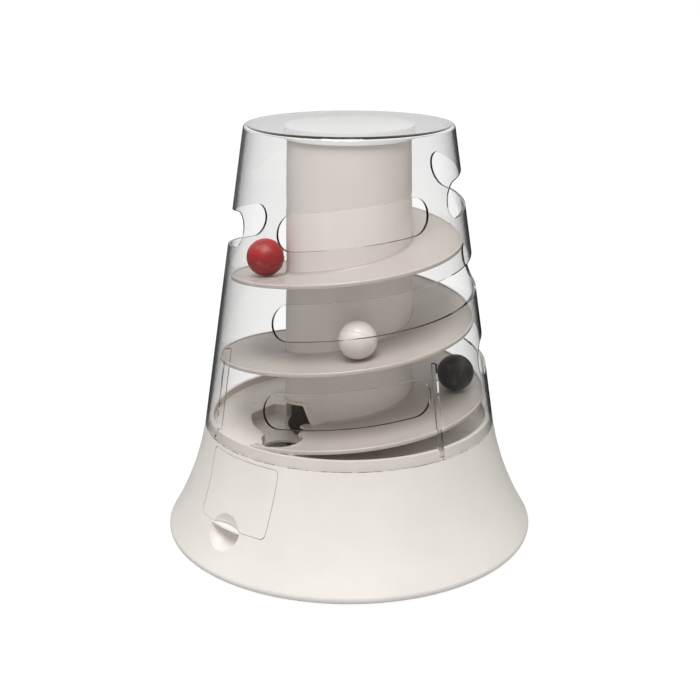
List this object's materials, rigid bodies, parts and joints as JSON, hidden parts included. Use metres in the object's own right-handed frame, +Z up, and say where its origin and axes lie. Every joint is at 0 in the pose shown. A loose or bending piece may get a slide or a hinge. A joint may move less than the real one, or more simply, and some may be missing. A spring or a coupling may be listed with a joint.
{
  "type": "cat ball track toy",
  "caption": "Cat ball track toy: balls roll down a spiral track round a hollow column in a slotted clear cover, on a flared white base with a hatch and a motor lift.",
  "frame": {"origin": "on the floor below the middle of the base", "axes": "+Z up along the column, -Y towards the front (the hatch is at the front left), +X to the right"},
  "size_m": [0.34, 0.34, 0.3757],
  "materials": {
    "white_shell": "satin",
    "cap_white": "satin",
    "light_grey": "satin",
    "clear_plastic": "gloss",
    "red_ball": "gloss",
    "white_ball": "gloss",
    "black_ball": "gloss",
    "button_grey": "satin",
    "gear_plastic": "satin",
    "dark_plastic": "matte",
    "black_rubber": "matte",
    "cell_jacket": "gloss",
    "board_green": "satin",
    "screw_steel": "satin",
    "contact_steel": "satin",
    "motor_steel": "satin",
    "shaft_steel": "satin",
    "bush_brass": "satin"
  },
  "bodies": {
    "base": {"base_shell": "white_shell", "base_plate": "white_shell", "rubber_feet": "black_rubber", "base_screws": "screw_steel", "deck": "light_grey", "deck_screws": "screw_steel", "ball_chute": "light_grey", "column_tube": "light_grey", "column_floor": "light_grey", "column_cap": "cap_white", "column_screws": "screw_steel", "track_lower": "light_grey", "track_middle": "light_grey", "track_upper": "light_grey", "top_bush": "bush_brass", "bottom_bush": "bush_brass", "gear_motor": "motor_steel", "motor_cradle": "dark_plastic", "cradle_screws": "screw_steel", "battery_box": "dark_plastic", "battery_cells": "cell_jacket", "battery_contacts": "contact_steel", "control_board": "board_green", "tact_switch": "dark_plastic"},
    "cover": {"clear_cover": "clear_plastic"},
    "hatch": {"hatch_door": "white_shell"},
    "lift": {"lift_shaft": "shaft_steel", "lift_screw": "gear_plastic", "drive_gear": "gear_plastic"},
    "motor_output": {"motor_shaft": "shaft_steel", "motor_pinion": "gear_plastic"},
    "battery_hatch": {"battery_door": "white_shell"},
    "button": {"power_button": "button_grey"},
    "red": {"ball_red": "red_ball"},
    "white": {"ball_white": "white_ball"},
    "black": {"ball_black": "black_ball"}
  },
  "joints": [
    {"name": "cover_lift_off", "type": "slide", "parent": "base", "child": "cover", "axis": [0, 0, 1], "range_m": [0, 0.3]},
    {"name": "hatch_pull_off", "type": "slide", "parent": "base", "child": "hatch", "axis": [-0.6947, -0.7193, 0], "range_m": [0, 0.07]},
    {"name": "lift_spin", "type": "hinge", "parent": "base", "child": "lift", "pos_m": [0, 0, 0.2], "axis": [0, 0, 1], "continuous": true},
    {"name": "motor_spin", "type": "hinge", "parent": "base", "child": "motor_output", "pos_m": [0.06, 0, 0.04], "axis": [0, 0, 1], "continuous": true},
    {"name": "battery_door_slide", "type": "slide", "parent": "base", "child": "battery_hatch", "axis": [0, -1, 0], "range_m": [0, 0.072]},
    {"name": "power_press", "type": "slide", "parent": "base", "child": "button", "axis": [0, -1, 0], "range_m": [0, 0.0015], "stiffness_N_per_m": 300, "springref_m": -0.001},
    {"name": "red_roll", "type": "hinge", "parent": "base", "child": "red", "pos_m": [0, 0, 0.26195], "axis": [-0.0413, 0.135, 0.99], "range_deg": [-40, 15]},
    {"name": "white_roll", "type": "hinge", "parent": "base", "child": "white", "pos_m": [0, 0, 0.20483], "axis": [-0.1502, -0.0131, 0.9886], "range_deg": [-40, 15]},
    {"name": "black_roll", "type": "hinge", "parent": "base", "child": "black", "pos_m": [0, 0, 0.15305], "axis": [-0.015, -0.0946, 0.9954], "range_deg": [-38, 15]}
  ],
  "couplings": [
    {"joint": "motor_spin", "follows": "lift_spin", "ratio": -3}
  ]
}
